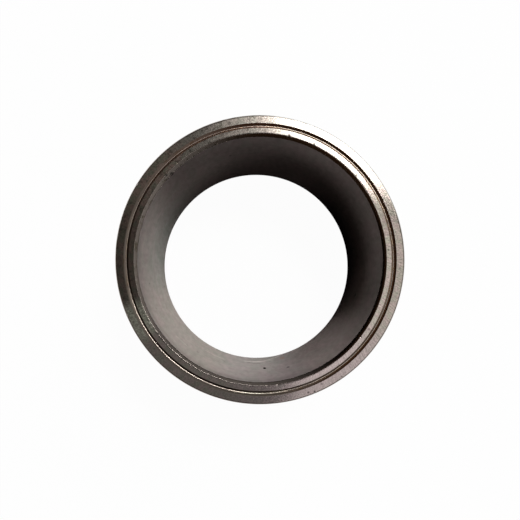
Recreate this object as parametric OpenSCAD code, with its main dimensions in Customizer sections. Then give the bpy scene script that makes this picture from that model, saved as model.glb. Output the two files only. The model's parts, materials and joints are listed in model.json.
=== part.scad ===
// Plain sleeve bushing, turned from one piece of steel.
// It stands on its lower end face: the axis is +Z and the origin is the
// centre of that face. One shallow groove with sloping sides runs round the upper
// end face.

/* [Sleeve] */
// Diameter of the bore that the pin runs in
bore_d = 85; // [40:0.5:160]
// Thickness of the wall between the bore and the outside
wall = 7.5; // [7:0.25:15]
// Length along the axis
length = 90; // [20:1:200]

/* [Edges] */
// 45 degree chamfer at each end of the bore, measured along the radius
bore_chamfer = 1.25; // [0.25:0.25:1.5]
// 45 degree edge break round each end of the outside
edge_break = 0.4; // [0.1:0.1:0.8]

/* [Face groove] */
// Flat land between the groove and the outside, with its edge break
rim_land = 2.75; // [1.5:0.25:3]
// Width of the groove at the end face
groove_w = 1.75; // [1.25:0.25:2]
// Depth of the groove, from the end face to its bottom
groove_depth = 0.65; // [0.4:0.05:0.8]
// Width of the flat bottom of the groove
groove_flat = 0.3; // [0.1:0.05:0.3]

/* [Hidden] */
$fn = 180;

bore_r = bore_d / 2;
outside_r = bore_r + wall;
groove_inner_r = outside_r - rim_land - groove_w;
// The groove's inner side is the steeper one, at this angle to the end face. Its
// outer side takes what the bottom and the inner side leave of the width.
inner_slope = 50;
inner_run = groove_depth / tan(inner_slope);
// The groove's cutter stands this far out of the face, so that it cuts clear
cutter_rise = 1;

// Half section of the bare sleeve: radius to the right, height upwards
module sleeve_section() {
    polygon([
        [bore_r + bore_chamfer, 0],
        [outside_r - edge_break, 0],
        [outside_r, edge_break],
        [outside_r, length - edge_break],
        [outside_r - edge_break, length],
        [bore_r + bore_chamfer, length],
        [bore_r, length - bore_chamfer],
        [bore_r, bore_chamfer]
    ]);
}

// Section of the tool that cuts the face groove: a flat nose and two slopes
module groove_section() {
    translate([groove_inner_r, length])
        polygon([
            [0, cutter_rise],
            [0, 0],
            [inner_run, -groove_depth],
            [inner_run + groove_flat, -groove_depth],
            [groove_w, 0],
            [groove_w, cutter_rise]
        ]);
}

// The whole bushing: the grooved section turned about the axis
module bushing() {
    color("dimgray")
        rotate_extrude()
            difference() {
                sleeve_section();
                groove_section();
            }
}

bushing();
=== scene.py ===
# %% [markdown]
# # A steel sleeve bushing, looked down on
#
# A bushing is a turned steel sleeve. It is pressed into a housing, and a pin turns in its
# bore. This one stands on its end on a pale floor, and the camera looks down into it.
#
# A machined part is a good first exercise in Blender, because its whole form is one
# outline turned about an axis. What makes it look real is not the form but the finishes:
# each cut leaves its own marks, and each mark takes the light in its own way.

# %% The frame
import json
import math

import bmesh
import bpy
from mathutils import Matrix, Vector, kdtree, noise


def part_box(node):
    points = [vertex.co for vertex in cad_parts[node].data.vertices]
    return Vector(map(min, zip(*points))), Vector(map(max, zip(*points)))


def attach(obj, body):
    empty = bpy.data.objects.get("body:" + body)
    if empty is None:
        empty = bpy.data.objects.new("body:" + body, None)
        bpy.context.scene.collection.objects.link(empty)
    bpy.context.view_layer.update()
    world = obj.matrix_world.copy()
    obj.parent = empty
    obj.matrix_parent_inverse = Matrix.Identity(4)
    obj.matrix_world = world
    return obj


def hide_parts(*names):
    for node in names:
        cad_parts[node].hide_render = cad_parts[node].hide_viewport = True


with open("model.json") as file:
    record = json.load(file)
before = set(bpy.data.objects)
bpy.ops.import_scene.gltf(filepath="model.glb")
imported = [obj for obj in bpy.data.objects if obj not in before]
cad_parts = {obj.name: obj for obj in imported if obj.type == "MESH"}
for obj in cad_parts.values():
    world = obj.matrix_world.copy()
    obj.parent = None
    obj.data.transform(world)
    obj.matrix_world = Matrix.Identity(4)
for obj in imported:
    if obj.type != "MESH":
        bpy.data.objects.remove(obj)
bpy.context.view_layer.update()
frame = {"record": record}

# %% [markdown]
# ## Sizes
#
# The outside, the length and the bore come from the frame, so that the piece made here is
# as large as the solid that it stands for. The small sizes of the end face are the ones
# that a lathe hand would be given: how wide the lands are, and how deep the groove is.

# %% Sizes
MM = 0.001
low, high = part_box("bushing")
mounts = {mount["name"]: mount for mount in frame["record"]["mounts"]}

length = high.z - low.z
outside_r = (high.x - low.x) / 2
bore_r = mounts["bore"]["dims"]["r_mm"] * MM

bore_chamfer = 1.25 * MM
edge_break = 0.4 * MM
rim_land = 2.8 * MM
groove_w = 1.7 * MM
groove_depth = 0.63 * MM
groove_flat = 0.31 * MM
inner_slope = math.radians(50)

lip_r = bore_r + bore_chamfer
groove_out_r = outside_r - rim_land
groove_in_r = groove_out_r - groove_w
print("length", length, "outside", outside_r, "bore", bore_r)
print("groove from radius", groove_in_r, "to", groove_out_r)

# %% [markdown]
# ## The section
#
# A lathe makes everything on this part except its wear, so the way to model it is the way
# it was cut: draw half of the section, then turn it about the axis. The points below run
# once round the metal, as (radius, height).
#
# The groove is shallow, with a narrow flat bottom between two slopes. The tool that cuts
# it has rounded corners, so each slope meets the bottom in a small arc. Those arcs matter
# more than their size suggests: they draw the fine light lines inside the groove.

# %% The section's points
TOOL_CORNER = 0.33 * MM
CORNER_STEPS = 6


def corner_arc(corner_r, slope):
    """Points up a rounded corner between the groove's bottom and one of its slopes.

    A slope above zero leans outwards, one below zero leans towards the axis."""
    bottom = length - groove_depth
    centre_r = corner_r - TOOL_CORNER * math.tan(slope / 2)
    points = []
    for step in range(CORNER_STEPS + 1):
        tilt = slope * step / CORNER_STEPS
        rise = TOOL_CORNER * (1 - math.cos(tilt))
        points.append((centre_r + TOOL_CORNER * math.sin(tilt), bottom + rise))
    return points


def groove_points():
    """Down the groove's outer slope, over its bottom, and up its inner slope."""
    inner_corner = groove_in_r + groove_depth / math.tan(inner_slope)
    outer_corner = inner_corner + groove_flat
    outer_slope = math.atan2(groove_depth, groove_out_r - outer_corner)
    print("the groove's slopes", math.degrees(inner_slope), "and", math.degrees(outer_slope))
    outer_arc = corner_arc(outer_corner, outer_slope)
    inner_arc = corner_arc(inner_corner, -inner_slope)
    return [(groove_out_r, length), *reversed(outer_arc), *inner_arc, (groove_in_r, length)]


# %% [markdown]
# The lands, the outside and the bore are straight, so two points each would do for their
# form. They get a few points more where wear comes later, close to the edges and round the
# height of a gouge in the bore, because a dent needs vertices to move. One more lies just
# inside the groove's inner edge: without it the shading of that rounded edge would spread
# over the whole land.

# %% The whole outline
GOUGE_Z = length - 44 * MM
RIM_STEPS = (0.3 * MM, 0.8 * MM)
GOUGE_STEPS = (2.4, 1.6, 0.8, 0.0, -0.8, -1.6, -2.4)
GROOVE_SIDE = 0.14 * MM

rim_r = outside_r - edge_break
section = [
    (lip_r, 0),
    *[(lip_r + step, 0) for step in RIM_STEPS],
    *[(rim_r - step, 0) for step in reversed(RIM_STEPS)],
    (rim_r, 0),
    (outside_r, edge_break),
    *[(outside_r, edge_break + step) for step in RIM_STEPS],
    *[(outside_r, length - edge_break - step) for step in reversed(RIM_STEPS)],
    (outside_r, length - edge_break),
    (rim_r, length),
    *[(rim_r - step, length) for step in RIM_STEPS],
    *groove_points(),
    (groove_in_r - GROOVE_SIDE, length),
    *[(lip_r + step, length) for step in reversed(RIM_STEPS)],
    (lip_r, length),
    (lip_r - bore_chamfer / 2, length - bore_chamfer / 2),
    (bore_r, length - bore_chamfer),
    *[(bore_r, GOUGE_Z + step * MM) for step in GOUGE_STEPS],
    (bore_r, bore_chamfer),
]
print(len(section), "points in the section")

# %% [markdown]
# ## Turning it
#
# Spin sweeps the section about the axis. A full turn needs use_merge, which joins the last
# copy to the first, or else a seam stays open there.
#
# No machined edge is truly sharp. A bevel less than a tenth of a millimetre wide goes on
# the ring edges, and it is what draws a thin bright line along each rim in the render. The
# groove's outer edge stays sharp: its slope is the gentlest, and a second bright line
# beside it would be one line too many.

# %% Spin and bevel
TURN_STEPS = 720
ROUNDING = 0.06 * MM
ROUNDING_STEPS = 3
MERGE_GAP = 0.001 * MM
SHARP_TURN = math.radians(40)
CORNER_TURN = math.radians(30)


def spin_section(mesh, points):
    """Sweep the closed outline of (radius, height) points once round the Z axis."""
    corners = [mesh.verts.new((radius, 0, height)) for radius, height in points]
    edges = [mesh.edges.new(pair) for pair in zip(corners, corners[1:] + corners[:1])]
    bmesh.ops.spin(
        mesh,
        geom=corners + edges,
        cent=(0, 0, 0),
        axis=(0, 0, 1),
        angle=math.tau,
        steps=TURN_STEPS,
        use_merge=True,
    )
    bmesh.ops.remove_doubles(mesh, verts=mesh.verts[:], dist=MERGE_GAP)
    bmesh.ops.recalc_face_normals(mesh, faces=mesh.faces[:])


def round_sharp_edges(mesh, width):
    """Bevel every edge at which the surface turns by more than SHARP_TURN."""
    sharp = [edge for edge in mesh.edges if edge.calc_face_angle(0) > SHARP_TURN]
    bmesh.ops.bevel(
        mesh,
        geom=sharp,
        offset=width,
        offset_type="OFFSET",
        segments=ROUNDING_STEPS,
        profile=0.5,
        affect="EDGES",
        clamp_overlap=True,
        material=-1,
    )


def keep_corners(mesh):
    """Shade across gentle turns only, so that an edge left sharp also looks sharp."""
    for edge in mesh.edges:
        edge.smooth = edge.calc_face_angle(0) < CORNER_TURN


shape = bmesh.new()
spin_section(shape, section)
round_sharp_edges(shape, ROUNDING)
keep_corners(shape)
print(len(shape.verts), "vertices", len(shape.faces), "faces")
print("volume as turned", shape.calc_volume() / MM**3, "mm3")

# %% [markdown]
# ## Knocks and a wandering lip
#
# A part that has been handled has small knocks on its corners. Each one is a soft push on
# the vertices round one spot. The columns of faces there are split first, so that the push
# finds enough vertices. A column runs all the way round the section, and so every face stays
# a clean four-sided one. Which end of an edge comes first can change from run to run, so the
# two are sorted before they are compared.
#
# The corner between the face and the bore's chamfer is called the lip here. The chamfer was
# cut by hand, so it is narrower at the lower left, and a little so at the upper right. The
# lip was then scraped: it wanders in and out, and at the lower left it isn't quite level.
# That breaks its highlight into the short bright dashes of the photograph.

# %% The knocks
# (degrees round, half length round, half width across, depth), the last three in mm
LIP_KNOCKS = [
    (65, 0.45, 0.3, 0.1),
    (77, 0.6, 0.35, 0.12),
    (41, 0.3, 0.25, 0.1),
    (131, 0.5, 0.3, 0.06),
    (206, 0.35, 0.35, 0.03),
    (208.3, 0.3, 0.35, 0.035),
    (210.5, 0.3, 0.3, 0.03),
    (214.5, 0.8, 0.2, 0.03),
    (231.5, 0.6, 0.2, 0.04),
    (265.8, 1.0, 0.2, 0.035),
    (273.2, 0.8, 0.2, 0.03),
    (278, 0.9, 0.2, 0.035),
    (322, 0.4, 0.25, 0.08),
]
RIM_KNOCKS = [
    (149, 0.7, 0.45, 0.2),
    (171, 0.4, 0.3, 0.1),
    (203, 0.5, 0.35, 0.14),
    (290, 0.4, 0.45, 0.2),
    (292, 0.5, 0.5, 0.22),
    (304.6, 0.4, 0.4, 0.18),
    (338, 0.6, 0.3, 0.12),
    (9, 0.5, 0.3, 0.1),
    (104, 0.45, 0.3, 0.12),
]
FOOT_KNOCKS = [
    (18, 0.6, 0.4, 0.18),
    (97, 0.5, 0.3, 0.12),
    (214, 0.8, 0.5, 0.22),
    (309, 0.5, 0.4, 0.15),
]
GOUGE = (273.5, 0.5, 2.0, 0.25)
print("knocks on lip, rim and foot:", len(LIP_KNOCKS), len(RIM_KNOCKS), len(FOOT_KNOCKS))

# %% Narrower columns where the knocks are
COLUMN_CUTS = 3
COLUMN_REACH = 1.3
LEAST_TURN = 0.1


def turn_of(spot):
    """The angle of a spot round the axis, in degrees from 0 to 360."""
    return math.degrees(math.atan2(spot.y, spot.x)) % 360


def split_columns(mesh, knocks):
    """Make the faces of the whole section narrower within reach of the knocks."""
    spans = []
    for degrees, long, _, _ in knocks:
        spans.append((degrees, COLUMN_REACH * math.degrees(long * MM / bore_r)))
    edges = []
    for edge in mesh.edges:
        start, end = sorted(turn_of(vert.co) for vert in edge.verts)
        runs_round = LEAST_TURN < end - start < 180
        if runs_round and any(start - span < degrees < end + span for degrees, span in spans):
            edges.append(edge)
    bmesh.ops.subdivide_edges(mesh, edges=edges, cuts=COLUMN_CUTS)


split_columns(shape, [*LIP_KNOCKS, *RIM_KNOCKS, *FOOT_KNOCKS, GOUGE])
print(len(shape.verts), "vertices once the columns are split")
print(sum(len(face.verts) != 4 for face in shape.faces), "faces aren't four-sided")

# %% A chamfer of uneven width
NARROW_DEGREES = 222
NARROWER_BY = 0.3 * MM
OTHER_DEGREES = 75
OTHER_BY = 0.19 * MM
CHAMFER_BAND = 0.1 * MM


def toward(degrees, facing_degrees):
    """One where the first angle is the second, nought a quarter turn away and beyond."""
    return max(0.0, math.cos(math.radians(degrees - facing_degrees)))


def chamfer_at(degrees):
    """The width of the upper chamfer at an angle round the bore."""
    left_out = NARROWER_BY * toward(degrees, NARROW_DEGREES)
    left_out += OTHER_BY * toward(degrees, OTHER_DEGREES)
    return bore_chamfer - left_out


for vert in shape.verts:
    radius = vert.co.xy.length
    below = length - vert.co.z
    if below < bore_chamfer + CHAMFER_BAND and radius < lip_r + CHAMFER_BAND:
        share = chamfer_at(turn_of(vert.co)) / bore_chamfer
        vert.co.xy *= (bore_r + (radius - bore_r) * share) / radius
        vert.co.z = length - below * share
print("the chamfer is narrowest at", chamfer_at(NARROW_DEGREES) / MM, "mm")

# %% The wandering lip
LIP_BAND = 0.15 * MM
LIP_WANDER = 0.05 * MM
SLOW_WAVES = 12
QUICK_WAVES = 45
SLOW_SHARE = 0.88
LIP_SAG = 0.008 * MM
SAG_WAVES = 28
SAG_LAYER = 7.0
SAG_DEGREES = 242


def wave(way, waves, height):
    """Smooth noise from -1 to 1 along the lip. More waves make it change more quickly."""
    return noise.noise(Vector((way.x * waves, way.y * waves, height)))


moved = 0
for vert in shape.verts:
    degrees = turn_of(vert.co)
    upper = vert.co.z > length / 2
    chamfer = chamfer_at(degrees) if upper else bore_chamfer
    flat = vert.co.xy
    if abs(flat.length - bore_r - chamfer) > LIP_BAND:
        continue
    way = flat.normalized()
    slow = SLOW_SHARE * wave(way, SLOW_WAVES, vert.co.z)
    quick = (1 - SLOW_SHARE) * wave(way, QUICK_WAVES, vert.co.z)
    vert.co.xy += way * LIP_WANDER * (slow + quick)
    sag = LIP_SAG * toward(degrees, SAG_DEGREES)
    sag *= abs(wave(way, SAG_WAVES, SAG_LAYER))
    vert.co.z += -sag if upper else sag
    moved += 1
print(moved, "vertices of the two lips moved")

# %% Pushing the knocks in
LONGEST_REACH = 3 * MM
HALF_BREAK = edge_break / 2
CORNER_WAY = math.sqrt(0.5)
INTO_TOP = (-CORNER_WAY, -CORNER_WAY)
INTO_FOOT = (-CORNER_WAY, CORNER_WAY)
INTO_LIP = (CORNER_WAY, -CORNER_WAY)


def find_tree(mesh):
    """A tree that finds the vertices near a spot without looking at all of them."""
    mesh.verts.ensure_lookup_table()
    tree = kdtree.KDTree(len(mesh.verts))
    for vert in mesh.verts:
        tree.insert(vert.co, vert.index)
    tree.balance()
    return tree


def push_in(mesh, tree, knock, radius, height, way):
    """Push the surface in round one spot. The way of the push is (outwards, up)."""
    degrees, long, wide, depth = knock
    turn = Matrix.Rotation(math.radians(degrees), 3, "Z")
    spot = turn @ Vector((radius, 0, height))
    for place, index, gap in tree.find_range(spot, LONGEST_REACH):
        across, along, up = turn.transposed() @ (place - spot)
        apart = math.hypot(across / wide, along / long, up / wide) / MM
        if apart < 1:
            push = turn @ Vector((way[0], 0, way[1]))
            mesh.verts[index].co += push * depth * MM * (1 - apart**2) ** 2


shape.verts.index_update()
tree = find_tree(shape)
for knock in LIP_KNOCKS:
    push_in(shape, tree, knock, bore_r + chamfer_at(knock[0]), length, INTO_LIP)
for knock in RIM_KNOCKS:
    push_in(shape, tree, knock, rim_r + HALF_BREAK, length - HALF_BREAK, INTO_TOP)
for knock in FOOT_KNOCKS:
    push_in(shape, tree, knock, rim_r + HALF_BREAK, HALF_BREAK, INTO_FOOT)
push_in(shape, tree, GOUGE, bore_r, GOUGE_Z, (1, 0))
print("volume with its wear", shape.calc_volume() / MM**3, "mm3")

# %% The mesh object
mesh_data = bpy.data.meshes.new("turned_sleeve")
shape.to_mesh(mesh_data)
shape.free()
mesh_data.shade_smooth()
sleeve = bpy.data.objects.new("turned_sleeve", mesh_data)
bpy.context.scene.collection.objects.link(sleeve)
even = sleeve.modifiers.new("flat_lands", "WEIGHTED_NORMAL")
even.weight = 100
even.keep_sharp = True
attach(sleeve, "root")
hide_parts("bushing")
print(sleeve.name, len(mesh_data.vertices), "vertices", len(mesh_data.polygons), "faces")

# %% [markdown]
# ## Shader maths in plain Python
#
# A finish is worked out by many small nodes. Written as Python expressions they stay
# readable: the first class below wraps a socket, and each operator adds one Math node. The
# second class is a material with the few nodes that the finishes here have in common.

# %% Sockets that add and multiply
class Value:
    """One output socket of a material, usable in sums."""

    def __init__(self, finish, socket):
        self.finish = finish
        self.socket = socket

    def math(self, operation, first, second=0.0):
        return self.finish.node("ShaderNodeMath", {"operation": operation}, {0: first, 1: second})

    def __add__(self, other):
        return self.math("ADD", self, other)

    def __sub__(self, other):
        return self.math("SUBTRACT", self, other)

    def __rsub__(self, other):
        return self.math("SUBTRACT", other, self)

    def __mul__(self, other):
        return self.math("MULTIPLY", self, other)

    __radd__ = __add__
    __rmul__ = __mul__


# %% A material and its nodes
class Finish:
    """One material and the few nodes that every finish here shares."""

    def __init__(self, name, **settings):
        self.material = bpy.data.materials.new(name)
        self.material.use_nodes = True
        self.tree = self.material.node_tree
        self.shader = self.tree.nodes["Principled BSDF"]
        for socket, value in settings.items():
            self.shader.inputs[socket.replace("_", " ")].default_value = value

    def node(self, kind, settings=None, inputs=None, out=0):
        """Add a node: its settings first, then its sockets. Returns one output."""
        node = self.tree.nodes.new(kind)
        for setting, value in (settings or {}).items():
            setattr(node, setting, value)
        for socket, value in (inputs or {}).items():
            self.feed(node.inputs[socket], value)
        return Value(self, node.outputs[out])

    def feed(self, socket, value):
        if isinstance(value, Value):
            self.tree.links.new(value.socket, socket)
        else:
            socket.default_value = value

    def set(self, socket, value):
        self.feed(self.shader.inputs[socket], value)

    def vector(self, operation, first, second=(0, 0, 0), out="Vector"):
        """One Vector Math node."""
        settings = {"operation": operation}
        return self.node("ShaderNodeVectorMath", settings, {0: first, 1: second}, out)

    def scaled(self, vector, factor):
        """A vector made longer, or a colour made lighter."""
        inputs = {0: vector, "Scale": factor}
        return self.node("ShaderNodeVectorMath", {"operation": "SCALE"}, inputs)

    def smooth(self, value, low, high):
        """Nought below low, one above high, and an even passage between them."""
        settings = {"interpolation_type": "SMOOTHSTEP"}
        inputs = {"Value": value, "From Min": low, "From Max": high}
        return self.node("ShaderNodeMapRange", settings, inputs)

    def blend(self, share, first, second):
        """The first colour where share is nought, the second where it is one.

        A Mix node has sockets for numbers, vectors and colours. The colours go in at 6 and 7,
        and their mix comes out at 2."""
        inputs = {0: share, 6: first, 7: second}
        return self.node("ShaderNodeMix", {"data_type": "RGBA"}, inputs, 2)

    def noise(self, vector, scale, detail=2.0, roughness=0.5):
        """Smooth noise round 0.5, with features as large as one over the scale."""
        inputs = {"Vector": vector, "Scale": scale, "Detail": detail, "Roughness": roughness}
        return self.node("ShaderNodeTexNoise", {"noise_dimensions": "3D"}, inputs)

    def bump(self, height, depth_mm):
        """Let a value from 0 to 1 raise the surface by up to this depth."""
        inputs = {"Height": height, "Distance": depth_mm * MM, "Strength": 1.0}
        self.set("Normal", self.node("ShaderNodeBump", {}, inputs))

    def done(self):
        """Tell how many nodes the finish took, and hand over its material."""
        print(self.material.name, "has", len(self.tree.nodes), "nodes")
        return self.material


# %% [markdown]
# ## Finding one's way on a turned part
#
# Machining marks follow the turning, so the noise that draws them must too. An angle would
# do for that, but an angle jumps from one end of its range to the other somewhere, and a
# seam would show there. The direction from the axis has no such jump. Noise is looked up at
# that direction times a radius, with the height or the radius as the third coordinate.
# Dividing both by the size of a mark stretches the noise into marks of that size.

# %% Places on the part, in mm
TOP = length / MM
MOUTH_R = bore_r / MM
MID_R = 47
RING_BLUR = 0.06


def lathe_places(finish):
    """A point's place, its distance from the axis, its height and its direction from the axis."""
    place = finish.scaled(finish.node("ShaderNodeTexCoord", out="Object"), 1 / MM)
    flat = finish.vector("MULTIPLY", place, (1, 1, 0))
    radius = finish.vector("LENGTH", flat, out="Value")
    height = finish.vector("DOT_PRODUCT", place, (0, 0, 1), out="Value")
    return place, radius, height, finish.vector("NORMALIZE", flat)


def marks(finish, way, across, long, wide, detail=2.0):
    """Noise in marks that are about long mm round the part and wide mm across."""
    round_part = finish.scaled(way, MID_R / long)
    across_part = finish.node("ShaderNodeCombineXYZ", {}, {2: across * (1 / wide)})
    return finish.noise(finish.vector("ADD", round_part, across_part), 1.0, detail)


def facing(finish, way, degrees):
    """One on the side of the part that faces this way, nought across it, less beyond."""
    around = math.radians(degrees)
    return finish.vector("DOT_PRODUCT", way, (math.cos(around), math.sin(around), 0), out="Value")


def side(finish, way, degrees, low, high):
    """One where facing that way is above high, nought where it is below low."""
    return finish.smooth(facing(finish, way, degrees), low, high)


def round_at(finish, way, degrees, reach):
    """One within half the reach of an angle round the part, nought beyond it."""
    far_off = math.cos(math.radians(reach))
    close_by = math.cos(math.radians(reach / 2))
    return side(finish, way, degrees, far_off, close_by)


def within(finish, radius, inside, outside):
    """One between two distances from the axis, nought elsewhere."""
    past_inside = finish.smooth(radius, inside - RING_BLUR, inside + RING_BLUR)
    return past_inside * (1 - finish.smooth(radius, outside - RING_BLUR, outside + RING_BLUR))


def near(finish, place, degrees, radius, height, reach, stretch=1.0):
    """One within half the reach of a spot, nought beyond it. Stretch draws it out upwards."""
    around = math.radians(degrees)
    spot = (radius * math.cos(around), radius * math.sin(around), height / stretch)
    squeezed = finish.vector("MULTIPLY", place, (1, 1, 1 / stretch))
    gap = finish.vector("DISTANCE", squeezed, spot, out="Value")
    return 1 - finish.smooth(gap, reach / 2, reach)


print("the end face is at", TOP, "mm, the mouth of the bore at", MOUTH_R, "mm")

# %% [markdown]
# ## The ground end faces
#
# A face grinder leaves short marks across the land. They lean a little, because the wheel
# sweeps over the face in arcs, and turning each place about the axis by an angle that grows
# with the radius makes them lean. Steel that has been oiled and wiped is never one colour:
# here it wanders between a pinkish and a greenish grey, in patches a few millimetres wide.
# Towards the upper left old oil has dried to a film, pink in places and olive in others,
# with darker spots, and at the top it has been wiped off. Near the lower left there is a
# pale, dull stain. The lower side has a faint violet tint and a few dark pits. The marks
# are coarsest on the right. The inner land is a little lighter than the outer one at the
# lower right, and a little darker at the top.

# %% Colours and marks of the end faces
PINKISH_STEEL = (0.385, 0.315, 0.285, 1)
GREENISH_STEEL = (0.335, 0.308, 0.258, 1)
VIOLET_STEEL = (0.395, 0.32, 0.32, 1)
WIPED_STEEL = (0.327, 0.3, 0.266, 1)
PINK_OIL = (0.54, 0.37, 0.3, 1)
OLIVE_OIL = (0.36, 0.345, 0.245, 1)
OIL_SPOT = (0.17, 0.14, 0.11, 1)
PALE_STAIN = (0.62, 0.63, 0.5, 1)
LEAN_PER_MM = 0.008
FACE_MARKS = [
    # degrees round, mm from the axis, reach, darkness
    (289.7, 48.8, 0.5, 0.6),
    (292.1, 49.3, 0.5, 0.6),
    (304.6, 49.2, 0.4, 0.5),
    (296.0, 47.9, 0.5, 0.35),
    (327.0, 44.6, 0.6, 0.35),
    (4.0, 44.4, 0.5, 0.45),
    (356.0, 48.4, 0.6, 0.3),
    (103.0, 48.2, 0.8, 0.45),
]
print(len(FACE_MARKS), "dark marks on the end face")

# %% Ground faces
finish = Finish("ground_faces", Metallic=1.0)
place, radius, _, way = lathe_places(finish)
about_z = {"rotation_type": "Z_AXIS"}
lean = {"Vector": way, "Angle": radius * LEAN_PER_MM}
leaning = finish.node("ShaderNodeVectorRotate", about_z, lean)
hatch = marks(finish, leaning, radius, 0.4, 3.0)
grain = finish.noise(place, 1.8, 4.0, 0.75)
patches = finish.smooth(finish.noise(place, 0.4, 3.0, 0.6), 0.4, 0.6)
colour = finish.blend(patches, PINKISH_STEEL, GREENISH_STEEL)
lower_side = side(finish, way, 292, 0.7, 0.98)
colour = finish.blend(0.7 * lower_side, colour, VIOLET_STEEL)
coarse_side = side(finish, way, 352, 0.6, 0.95)
tone = 1.0 + 1.6 * (grain - 0.5) + (0.5 + 0.6 * coarse_side) * (hatch - 0.5)
inner_land = 1 - finish.smooth(radius, 45, 46)
tone = tone * (1 + 0.18 * inner_land * side(finish, way, 285, 0.0, 0.5))

old_oil = side(finish, way, 140, 0.2, 0.8)
film = finish.smooth(finish.noise(place, 0.35, 3.0, 0.6), 0.4, 0.6)
dried = finish.blend(film, PINK_OIL, OLIVE_OIL)
colour = finish.blend(0.7 * old_oil, colour, dried)
wiped_and_painted_highlight = side(finish, way, 100, 0.8, 0.97)
colour = finish.blend(0.8 * wiped_and_painted_highlight, colour, WIPED_STEEL)
tone = tone * (1 - 0.26 * inner_land * side(finish, way, 98, 0.9, 0.99))
spots = finish.smooth(finish.noise(place, 0.75, 3.0, 0.6), 0.52, 0.64) * old_oil
colour = finish.blend(0.55 * spots, colour, OIL_SPOT)

speckle = finish.smooth(finish.noise(place, 1.3, 3.0, 0.7), 0.38, 0.6)
stain = near(finish, place, 207, 46.8, TOP, 9.0) * (0.4 + 0.6 * speckle)
colour = finish.blend(0.8 * stain, colour, PALE_STAIN)
for degrees, far, reach, darkness in FACE_MARKS:
    tone = tone * (1 - darkness * near(finish, place, degrees, far, TOP, reach))

finish.set("Base Color", finish.scaled(colour, tone))
finish.set("Roughness", 0.11 - 0.02 * spots + 0.1 * stain + 0.06 * (grain - 0.5))
finish.bump(0.5 * hatch + 0.5 * grain, 0.0045)
ground_faces = finish.done()

# %% [markdown]
# ## The groove
#
# The groove was turned and never ground, so its marks run round it. It is warmer in colour
# than the lands, for oil stays in it when the face is wiped. Two places on its bottom are
# painted brighter, a painted highlight, and it is darker at the upper right. Its slopes and
# bottom carry painted shade and painted light: the inner slope is painted dark from the left
# round to the lower right, and other stretches are painted lighter and darker. A row of
# painted shades and lights says where they are.

# %% Colours and shades of the groove
GROOVE_STEEL = (0.41, 0.34, 0.288, 1)
GROOVE_DIRT = (0.3, 0.22, 0.15, 1)
PAINTED_HIGHLIGHT_STEEL = (0.68, 0.58, 0.48, 1)
DARKER_GROOVE_STEEL = (0.2, 0.165, 0.135, 1)
NO_TINT = (1, 1, 1, 1)
GROOVE_TINTS = [
    # degrees round, tint
    (232.0, (1.04, 1.07, 1.09)),
    (116.0, (1.07, 0.98, 0.97)),
]
# Painted light and painted shade: each row makes a stretch of the groove lighter or darker.
GROOVE_PAINTED_LIGHT_AND_SHADE = [
    # degrees round, reach in degrees, from mm, to mm from the axis, factor
    (252, 120, 45.3, 46.02, 0.2),
    (311, 50, 45.9, 46.12, 0.25),
    (240, 52, 46.75, 47.3, 0.62),
    (232, 38, 46.45, 46.8, 0.5),
    (183, 30, 46.3, 46.5, 1.4),
    (185, 36, 46.92, 47.3, 0.65),
    (142, 22, 46.4, 47.3, 0.75),
    (322, 42, 46.28, 46.65, 2.4),
    (0, 34, 46.82, 47.15, 0.4),
    (270, 14, 46.2, 46.5, 1.7),
    (270, 16, 46.58, 47.0, 0.45),
    (50, 70, 45.85, 46.1, 1.4),
    (90, 20, 45.9, 46.16, 1.4),
    (58, 60, 46.2, 46.5, 0.75),
]


def tinted(finish, colour, way, tints, low, high):
    """The colour, multiplied on each side by the tint that a row gives for it."""
    for degrees, tint in tints:
        share = side(finish, way, degrees, low, high)
        colour = finish.vector("MULTIPLY", colour, finish.blend(share, NO_TINT, (*tint, 1)))
    return colour


# %% Turned groove
finish = Finish("turned_groove", Metallic=1.0)
_, radius, height, way = lathe_places(finish)
lines = marks(finish, way, radius + height, 25.0, 0.07)
dirt = finish.smooth(marks(finish, way, radius, 2.5, 0.6, 3.0), 0.5, 0.7)
dirt = dirt * (1 - 0.85 * side(finish, way, 235, 0.6, 0.85))
colour = finish.blend(dirt, GROOVE_STEEL, GROOVE_DIRT)
# Painted highlight: two places on the groove's bottom are painted brighter.
wiped_and_painted_highlight = side(finish, way, 271, 0.96, 0.995) + side(finish, way, 206, 0.97, 0.995)
colour = finish.blend(0.8 * wiped_and_painted_highlight, colour, PAINTED_HIGHLIGHT_STEEL)
# Darker at the upper right.
darker_upper_right = side(finish, way, 60, 0.88, 0.985)
colour = finish.blend(0.65 * darker_upper_right, colour, DARKER_GROOVE_STEEL)
# Painted light and painted shade from the rows above.
for degrees, reach, inside, outside, factor in GROOVE_PAINTED_LIGHT_AND_SHADE:
    shade = round_at(finish, way, degrees, reach) * within(finish, radius, inside, outside)
    colour = finish.scaled(colour, 1 + (factor - 1) * shade)
colour = tinted(finish, colour, way, GROOVE_TINTS, 0.75, 0.95)
finish.set("Base Color", finish.scaled(colour, 0.8 + 0.4 * lines))
finish.set("Roughness", 0.13 + 0.08 * dirt)
finish.bump(lines, 0.0012)
turned_groove = finish.done()

# %% [markdown]
# ## The chamfers and broken corners
#
# The same tool cut the chamfers of the bore and the broken corners of the outside, in one
# pass each. Its feed shows as fine rings. Grime collects on the chamfer, mostly where the
# oil dried. Handling has polished the bore's chamfer a little on the left. One side of the
# rim is painted near white, a painted highlight.

# %% Cut corners
CUT_STEEL = (0.33, 0.285, 0.255, 1)
GRIME = (0.14, 0.12, 0.08, 1)
SMUDGE = (0.05, 0.042, 0.038, 1)
PAINTED_HIGHLIGHT_WHITE = (1.0, 0.99, 0.96, 1)

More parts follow.
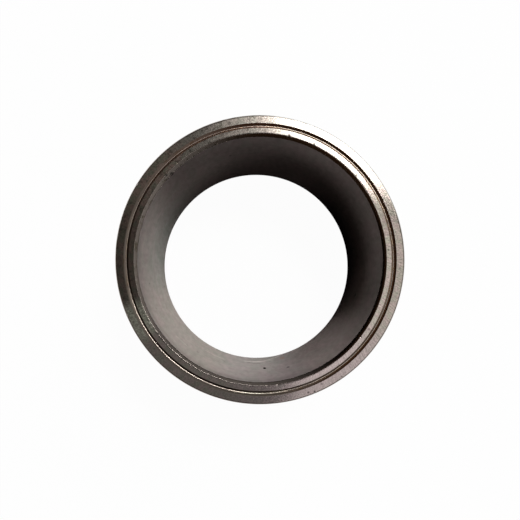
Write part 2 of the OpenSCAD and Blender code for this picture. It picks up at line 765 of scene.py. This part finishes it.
finish = Finish("cut_corners", Metallic=1.0)
place, radius, height, way = lathe_places(finish)
rings = marks(finish, way, height, 40.0, 0.12)
grime = finish.smooth(marks(finish, way, height, 1.6, 0.9, 3.0), 0.5, 0.68)
grime = grime * (0.25 + 0.75 * side(finish, way, 125, 0.2, 0.9))
colour = finish.blend(grime, CUT_STEEL, GRIME)
smudge = near(finish, place, 136.3, MOUTH_R + 0.3, TOP - 1.0, 0.8)
smudge = smudge + near(finish, place, 138.4, lip_r / MM - 0.2, TOP - 0.2, 0.6)
colour = finish.blend(0.8 * smudge, colour, SMUDGE)
colour = finish.scaled(colour, 1 + 0.35 * round_at(finish, way, 178, 44))
# Painted highlight: one side of the outer rim is painted near white.
painted_highlight_rim = side(finish, way, 55, 0.8, 0.95) * finish.smooth(radius, 48, 49)
colour = finish.blend(painted_highlight_rim, colour, PAINTED_HIGHLIGHT_WHITE)
finish.set("Base Color", finish.scaled(colour, 0.75 + 0.5 * rings))
finish.set("Roughness", 0.13 + 0.15 * grime + 0.06 * rings)
finish.bump(rings, 0.003)
cut_corners = finish.done()

# %% [markdown]
# ## The bore
#
# The bore is phosphated: a dull warm grey coat that holds oil. It shines so little that a
# rough diffuse surface does for it. The side that faces the strong lamp is painted lighter,
# which is painted light, and the rest of the bore is painted darker, which is painted shade.
#
# The painted light widens with depth, and on the lit side the mouth above it is painted
# darker, a painted shade. Near the bottom of the shaded side the coat is painted nearly
# black, a painted shade, and a place beside it near the mouth is painted lighter, a painted
# light. Greenish and bluish tints lie round the lit place. A greenish place is also painted
# lighter with depth, a painted light, and two stretches are painted darker, a painted shade.
# Then come faint lines from honing, blotches, and the marks that tell one part from the
# next: a few specks, light scratches and a dark one, a rust stain, a smudge at the mouth and
# a dark gouge. The gouge is a real dent as well.

# %% Colours of the bore
COAT = (0.262, 0.218, 0.206, 1)
# Painted light and painted shade: a lighter coat for the lit side, darker ones for the shaded
# side and its depth.
PAINTED_LIGHT_COAT = (0.45, 0.404, 0.368, 1)
PAINTED_SHADE_COAT = (0.1, 0.072, 0.07, 1)
GREENISH_PAINTED_LIGHT_COAT = (0.36, 0.35, 0.325, 1)
PAINTED_DEEP_SHADE = (0.015, 0.013, 0.016, 1)
RUST = (0.3, 0.19, 0.13, 1)
PINK_TINT = (1.03, 0.99, 0.995, 1)
GREEN_TINT = (0.96, 0.99, 0.96, 1)
# Tints by side; the rows at 302 and 90 degrees are painted shade, stretches made darker.
BORE_TINTS_AND_PAINTED_SHADE = [
    # degrees round, tint
    (172.0, (0.93, 0.98, 0.965)),
    (272.0, (0.99, 1.01, 1.05)),
    (302.0, (0.86, 0.87, 0.87)),
    (90.0, (0.82, 0.82, 0.82)),
]
LIT_SIDE_DEGREES = 235

# %% Marks of the bore
BORE_MARKS = [
    # degrees round, mm below the face, half width, stretch upwards, darkness
    (273.5, 44.0, 0.8, 4.5, 1.0),
    (285.7, 33.9, 0.8, 3.5, 0.5),
    (277.7, 69.9, 0.8, 2.0, 0.3),
    (342.0, 51.3, 0.9, 2.5, 0.5),
    (136.0, 2.2, 0.9, 1.4, 0.65),
    (137.3, 1.9, 0.7, 1.2, 0.4),
    (191.5, 28.0, 0.6, 3.0, 0.3),
    (193.0, 77.0, 0.6, 3.5, 0.3),
    (204.7, 24.0, 0.5, 3.0, 0.25),
    (236.0, 36.0, 0.7, 3.5, 0.2),
    (251.0, 50.0, 0.6, 4.0, 0.2),
    (20.0, 62.0, 0.8, 3.0, 0.3),
    (105.0, 30.0, 0.7, 3.0, 0.3),
]
SCRATCHES = [
    # degrees round, mm below the face, lean, reach, width, lightness
    (267.0, 69.6, -2.0, 5.0, 1.6, 0.65),
    (274.0, 71.8, 18.0, 6.0, 1.8, 0.65),
    (280.5, 80.0, 55.0, 9.0, 1.4, 0.65),
    (244.0, 58.0, -8.0, 5.0, 1.0, 0.55),
    (226.0, 30.0, 12.0, 4.0, 0.8, 0.55),
    (268.1, 64.3, -27.0, 4.2, 0.9, -0.65),
]


def scratch(finish, place, degrees, height, lean, reach, width):
    """One along a short straight scratch on the wall of the bore. The lean is in degrees."""
    around = math.radians(degrees)
    tilt = math.radians(lean)
    level = math.sin(tilt)
    spot = (MOUTH_R * math.cos(around), MOUTH_R * math.sin(around), height)
    across = (-math.sin(around) * level, math.cos(around) * level, math.cos(tilt))
    from_spot = finish.vector("SUBTRACT", place, spot)
    gap = finish.vector("DOT_PRODUCT", from_spot, across, out="Value")
    line = 1 - finish.smooth(gap.math("ABSOLUTE", gap), 0, width)
    return line * near(finish, place, degrees, MOUTH_R, height, reach)


print(len(BORE_MARKS), "marks and", len(SCRATCHES), "scratches in the bore")

# %% Dull bore
finish = Finish("dull_bore", Metallic=0.0, Specular_IOR_Level=0.0, Diffuse_Roughness=1.0)
place, _, height, way = lathe_places(finish)
depth = 1 - height * (MM / length)
lit_side = facing(finish, way, LIT_SIDE_DEGREES)
# Painted light: the side that faces the strong lamp is painted lighter, more widely with depth.
painted_light_side = finish.smooth(lit_side + 0.35 * (depth - 0.5), 0.45, 1.05)
# Painted shade: the side away from the lamp is painted darker, more so with depth.
painted_shade_side = finish.smooth(depth - lit_side, 0.7, 1.7)
# Painted shade: deep on the shaded side the coat is painted nearly black.
painted_deep_shade = side(finish, way, 15, 0.6, 1.0) * finish.smooth(depth, 0.35, 0.95)
colour = finish.blend(painted_light_side, COAT, PAINTED_LIGHT_COAT)
colour = finish.blend(0.7 * painted_shade_side, colour, PAINTED_SHADE_COAT)
colour = finish.blend(0.9 * painted_deep_shade, colour, PAINTED_DEEP_SHADE)
# A greenish tint that is also painted light, growing with depth.
greenish_and_painted_light = side(finish, way, 163, 0.75, 1.0) * finish.smooth(depth, 0.1, 0.8)
colour = finish.blend(0.55 * greenish_and_painted_light, colour, GREENISH_PAINTED_LIGHT_COAT)
# The tint rows include painted shade: two stretches made darker.
colour = tinted(finish, colour, way, BORE_TINTS_AND_PAINTED_SHADE, 0.88, 0.99)
# Painted light: a lighter place on the shaded side near the mouth.
painted_light_by_mouth = side(finish, way, 335, 0.85, 1.0) * finish.smooth(depth, 0.1, 0.35)
colour = finish.scaled(colour, 1 + 0.35 * painted_light_by_mouth)
# Painted shade: the mouth is painted darker on the lit side.
painted_mouth_shade = 1 - finish.smooth(depth, 0.02, 0.17)
painted_mouth_shade = painted_mouth_shade * finish.smooth(lit_side, -0.1, 0.5)
blotch = finish.smooth(marks(finish, way, height, 6.0, 14.0, 3.0), 0.35, 0.65)
colour = finish.vector("MULTIPLY", colour, finish.blend(blotch, PINK_TINT, GREEN_TINT))
honing = marks(finish, way, height, 18.0, 0.9, 3.0)
cloth = finish.noise(place, 0.5, 4.0, 0.7)
mottle = marks(finish, way, height, 2.0, 9.0, 3.0)
grain = 0.25 * (honing - 0.5) + 0.35 * (cloth - 0.5) + 0.45 * (mottle - 0.5)
tone = (1.0 - 0.2 * painted_mouth_shade) * (1.0 + grain)

rust = near(finish, place, 285.2, MOUTH_R, TOP - 71.7, 1.6, 4.0)
colour = finish.blend(0.35 * rust, colour, RUST)
for degrees, below, reach, stretch, darkness in BORE_MARKS:
    mark = near(finish, place, degrees, MOUTH_R, TOP - below, reach, stretch)
    tone = tone * (1 - darkness * mark)
for degrees, below, lean, reach, width, lightness in SCRATCHES:
    line = scratch(finish, place, degrees, TOP - below, lean, reach, width)
    tone = tone * (1 + lightness * line)

finish.set("Base Color", finish.scaled(colour, tone))
finish.set("Roughness", 0.6 + 0.3 * (cloth - 0.5))
finish.bump(0.5 * honing + 0.5 * cloth, 0.02)
dull_bore = finish.done()

# %% [markdown]
# ## The outside
#
# The outside is a press fit, so it was ground true, with marks that run round it. The
# photograph doesn't show it. It gets the colour of the end faces, fine lines and broader
# bands from the grinding wheel, upright scuffs from going in and out of a housing, dull
# streaks where it was wiped, and some dried oil towards the foot.

# %% Ground outside
GROUND_STEEL = (0.38, 0.332, 0.297, 1)
STREAKED_STEEL = (0.335, 0.3, 0.265, 1)
FOOT_OIL = (0.27, 0.2, 0.14, 1)
SCUFFED_STEEL = (0.24, 0.2, 0.17, 1)

finish = Finish("ground_outside", Metallic=1.0)
place, _, height, way = lathe_places(finish)
fine = marks(finish, way, height, 22.0, 0.3, 3.0)
bands = marks(finish, way, height, 70.0, 2.4, 4.0)
streaks = finish.smooth(marks(finish, way, height, 30.0, 7.0, 4.0), 0.42, 0.66)
scuffs = finish.smooth(marks(finish, way, height, 0.4, 9.0, 3.0), 0.64, 0.74)
foot_oil = finish.smooth(finish.noise(place, 0.09, 5.0, 0.65), 0.5, 0.64)
foot_oil = foot_oil * (1 - finish.smooth(height, 5, 55))
colour = finish.blend(streaks, GROUND_STEEL, STREAKED_STEEL)
colour = finish.blend(0.6 * foot_oil, colour, FOOT_OIL)
colour = finish.blend(0.5 * scuffs, colour, SCUFFED_STEEL)
finish.set("Base Color", finish.scaled(colour, 0.55 + 0.45 * fine + 0.45 * bands))
roughness = 0.2 + 0.07 * streaks + 0.12 * foot_oil + 0.1 * scuffs
finish.set("Roughness", roughness + 0.12 * (bands - 0.5))
finish.bump(0.5 * fine + 0.3 * bands + 0.2 * scuffs, 0.008)
ground_outside = finish.done()

# %% [markdown]
# ## Which face has which finish
#
# The middle of a face tells where it lies in the section, and so how it was machined. The
# rounded edges go with the corner that they belong to.

# %% Finishes by place
finishes = [ground_faces, turned_groove, cut_corners, dull_bore, ground_outside]
for material in finishes:
    mesh_data.materials.append(material)

EDGE = 0.08 * MM


def finish_of(face):
    """The finish of a face, from where its middle is."""
    radius = face.center.xy.length
    height = face.center.z
    chamfer = chamfer_at(turn_of(face.center)) if height > length / 2 else bore_chamfer
    if radius < bore_r + chamfer + EDGE:
        return dull_bore if chamfer < height < length - chamfer else cut_corners
    if groove_in_r < radius < groove_out_r and height > length / 2:
        return turned_groove
    if radius > outside_r - EDGE and edge_break < height < length - edge_break:
        return ground_outside
    if radius > rim_r:
        return cut_corners
    return ground_faces


for face in mesh_data.polygons:
    face.material_index = finishes.index(finish_of(face))
for slot, material in enumerate(finishes):
    share = [face for face in mesh_data.polygons if face.material_index == slot]
    print(material.name, "is on", len(share), "faces")

# %% [markdown]
# ## The camera
#
# Two measurements in the photograph place the camera. The first is where the end face lies
# and how large it is. The second is the point where all lines along the bore would meet:
# that pixel looks straight down, so it lies right below the camera.

# %% The camera
FRAME_PX = 520
FACE_CENTRE_PX = Vector((260.53, 258.65))
FACE_RADIUS_PX = 145.07
PLUMB_PX = Vector((244.14, 286.92))
FOCAL_PX = 737.8
SENSOR_MM = 36

scale = outside_r / FACE_RADIUS_PX


def on_face(pixel):
    """The point of the end face's plane that a pixel of the photograph shows."""
    across = pixel - FACE_CENTRE_PX
    return Vector((across.x * scale, -across.y * scale, length))


camera_data = bpy.data.cameras.new("camera")
camera_data.sensor_width = SENSOR_MM
camera_data.lens = SENSOR_MM * FOCAL_PX / FRAME_PX
camera = bpy.data.objects.new("camera", camera_data)
bpy.context.scene.collection.objects.link(camera)
bpy.context.scene.camera = camera
aim = on_face(Vector((FRAME_PX / 2, FRAME_PX / 2)))
camera.location = on_face(PLUMB_PX) + Vector((0, 0, FOCAL_PX * scale))
look = (aim - camera.location).normalized()
right = look.cross(Vector((0, 1, 0))).normalized()
camera.rotation_euler = Matrix((right, right.cross(look), -look)).transposed().to_euler()
print("camera at", camera.location, "lens", camera_data.lens)

# %% [markdown]
# ## Light
#
# Polished metal shows its surroundings, so lighting it means choosing what it reflects.
# The end face lies level and mirrors what hangs above it. Each point of the ring mirrors
# another point up there, so the ring shows a circle of the ceiling, seen in passing. Six
# level panels of different strength fill that circle: a bright one with a softer edge where
# the ring is white, middling ones where it is grey, and faint ones where it is nearly black.
#
# The bore is dull and shows light instead of reflections. One small strong lamp does most
# of that work. It hangs so near the axis that its light reaches the bottom of the bore, and
# it stands inside the bright panel, where its own mirror image can't be told apart. A
# second one stands further out, where no flat face mirrors it but the rounded lip does.

# %% Softboxes
PANEL_Z = length + 1.2


def area_lamp(name, width, height, radiance):
    """A rectangular lamp that looks as bright as radiance in a perfect mirror."""
    data = bpy.data.lights.new(name, "AREA")
    data.shape = "RECTANGLE"
    data.size = width
    data.size_y = height
    data.energy = radiance * math.pi * width * height
    lamp = bpy.data.objects.new(name, data)
    lamp.visible_camera = False
    bpy.context.scene.collection.objects.link(lamp)
    print(name, "gives", round(data.energy, 2), "W")
    return lamp


def panel(name, x_span, y_span, radiance):
    """A level lamp above the part, between two limits in X and two in Y."""
    lamp = area_lamp(name, x_span[1] - x_span[0], y_span[1] - y_span[0], radiance)
    lamp.location = (sum(x_span) / 2, sum(y_span) / 2, PANEL_Z)


panel("bright_panel", (0.058, 0.55), (0.2, 0.75), 3.5)
panel("soft_edge", (-0.06, 0.058), (0.2, 0.7), 0.6)
panel("strong_lamp", (0.12, 0.32), (0.24, 0.44), 65.0)
panel("far_lamp", (0.55, 0.85), (0.68, 0.98), 15.0)
panel("right_panel", (0.085, 0.5), (-0.6, 0.12), 0.97)
panel("low_panel", (-0.5, 0.075), (-0.6, -0.07), 0.21)
panel("left_panel", (-0.5, -0.02), (-0.07, 0.16), 0.06)
panel("upper_left_panel", (-0.5, -0.06), (0.16, 0.45), 0.125)

# %% [markdown]
# The mouth of the bore is lighter than its depth on the shaded side. That takes a little
# light from low down, opposite the strong lamp: one wide lamp, and a second one further
# round and higher that reaches deeper. Both are hidden from reflections, because the
# chamfer across the bore would mirror them and has to stay dark.

# %% Low fill lights
FILL_DISTANCE = 1.2


def fill_lamp(name, degrees, rise, width, height, radiance):
    """A lamp low on one side, turned towards the mouth of the bore. The rise is in degrees."""
    way = Vector((math.cos(math.radians(degrees)), math.sin(math.radians(degrees)), 0))
    way.z = math.tan(math.radians(rise))
    way.normalize()
    lamp = area_lamp(name, width, height, radiance)
    lamp.location = Vector((0, 0, length)) + way * FILL_DISTANCE
    lamp.rotation_euler = way.to_track_quat("Z", "Y").to_euler()
    lamp.visible_glossy = False


fill_lamp("low_fill", 205, 18, 1.5, 0.5, 1.3)
fill_lamp("deep_fill", 314, 37, 0.5, 0.5, 1.5)

# %% A black world
BLACK = (0, 0, 0, 1)

world = bpy.data.worlds.new("studio")
bpy.context.scene.world = world
world.use_nodes = True
world.node_tree.nodes["Background"].inputs["Color"].default_value = BLACK

# %% [markdown]
# ## Card round the part
#
# The chamfer leans at 45 degrees, so it doesn't mirror the ceiling but the horizon across
# the bore. In the photograph it is nearly black on the right and mid grey on the left. A
# ring of card does that: it stands round the part, it is black on one side, and it turns
# into a glowing grey on the other. Higher up it has a faint brown glow all round, like the
# wood of a workbench, and on the lower side that comes down to the floor at half strength.
# The groove's slopes pick it up. The card has no part in lighting the bore, so it is hidden
# from diffuse rays, and it throws no shadow. The brown's two heights are in mm.

# %% A ring of card
CARD_R = 0.6
CARD_HEIGHT = 0.8
CARD_GREY = (0.27, 0.265, 0.26, 1)
CARD_BROWN = (0.055, 0.028, 0.014, 1)
CARD_DEGREES = 20
WARM_DEGREES = 250
BROWN_FROM = 180
BROWN_ABOVE = 320
ROUND_STEPS = 96


def walled_mesh(name, mesh, rim, wall_height):
    """Raise a wall on the open rim of a flat mesh, and make an object of it."""
    raised = bmesh.ops.extrude_edge_only(mesh, edges=rim)
    top = [item for item in raised["geom"] if isinstance(item, bmesh.types.BMVert)]
    bmesh.ops.translate(mesh, verts=top, vec=(0, 0, wall_height))
    data = bpy.data.meshes.new(name)
    mesh.to_mesh(data)
    mesh.free()
    thing = bpy.data.objects.new(name, data)
    bpy.context.scene.collection.objects.link(thing)
    return thing


flat = bmesh.new()
bmesh.ops.create_circle(flat, segments=ROUND_STEPS, radius=CARD_R)
card = walled_mesh("card_ring", flat, flat.edges[:], CARD_HEIGHT)
card.visible_camera = False
card.visible_diffuse = False
card.visible_shadow = False

finish = Finish("card_paper", Specular_IOR_Level=0.0, Emission_Strength=1.0)
finish.set("Base Color", BLACK)
_, _, height, way = lathe_places(finish)
glow = side(finish, way, CARD_DEGREES, -0.3, 0.6)
warm = 0.5 * side(finish, way, WARM_DEGREES, 0.4, 0.95)
brown = warm.math("MAXIMUM", warm, finish.smooth(height, BROWN_FROM, BROWN_ABOVE))
shade = finish.blend(brown, BLACK, CARD_BROWN)
finish.set("Emission Color", finish.blend(glow, shade, CARD_GREY))
card.data.materials.append(finish.done())

# %% [markdown]
# ## Floor and backdrop
#
# The floor is a round sheet whose edge turns up into a low wall, so that the polished part
# finds something pale at the horizon too. The paper has to come out pure white in the
# picture without throwing extra light on the steel. A Light Path node tells the rays apart:
# to the camera and in reflections the paper is white by itself, and to the light that
# bounces from surface to surface it is nearly black.

# %% Paper that is white only to look at
FLOOR_R = 4.0
WALL_HEIGHT = 1.3
UNLIT_PAPER = (0.03, 0.03, 0.03, 1)
LIT_PAPER = (0.9, 0.9, 0.9, 1)
WHITE = (1, 1, 1, 1)
OWN_WHITE = 0.97

flat = bmesh.new()
bmesh.ops.create_circle(flat, cap_ends=True, segments=ROUND_STEPS, radius=FLOOR_R)
rim = [edge for edge in flat.edges if edge.is_boundary]
backdrop = walled_mesh("paper_backdrop", flat, rim, WALL_HEIGHT)

finish = Finish("pale_paper")
camera_ray = finish.node("ShaderNodeLightPath", out="Is Camera Ray")
glossy_ray = finish.node("ShaderNodeLightPath", out="Is Glossy Ray")
clear_ray = finish.node("ShaderNodeLightPath", out="Is Transmission Ray")
looking = camera_ray.math("MINIMUM", camera_ray + glossy_ray + clear_ray, 1.0)
unlit = finish.node("ShaderNodeBsdfDiffuse", {}, {"Color": UNLIT_PAPER})
paper = finish.node("ShaderNodeBsdfDiffuse", {}, {"Color": LIT_PAPER})
white = finish.node("ShaderNodeEmission", {}, {"Color": WHITE, "Strength": 1.0})
shown = finish.node("ShaderNodeMixShader", {}, {0: OWN_WHITE, 1: paper, 2: white})
mixed = finish.node("ShaderNodeMixShader", {}, {0: looking, 1: unlit, 2: shown})
finish.tree.nodes.remove(finish.shader)
finish.feed(finish.tree.nodes["Material Output"].inputs["Surface"], mixed)
backdrop.data.materials.append(finish.done())

# %% [markdown]
# ## View settings
#
# The Standard view shows a colour as it was written.

# %% View settings
bpy.context.scene.view_settings.view_transform = "Standard"
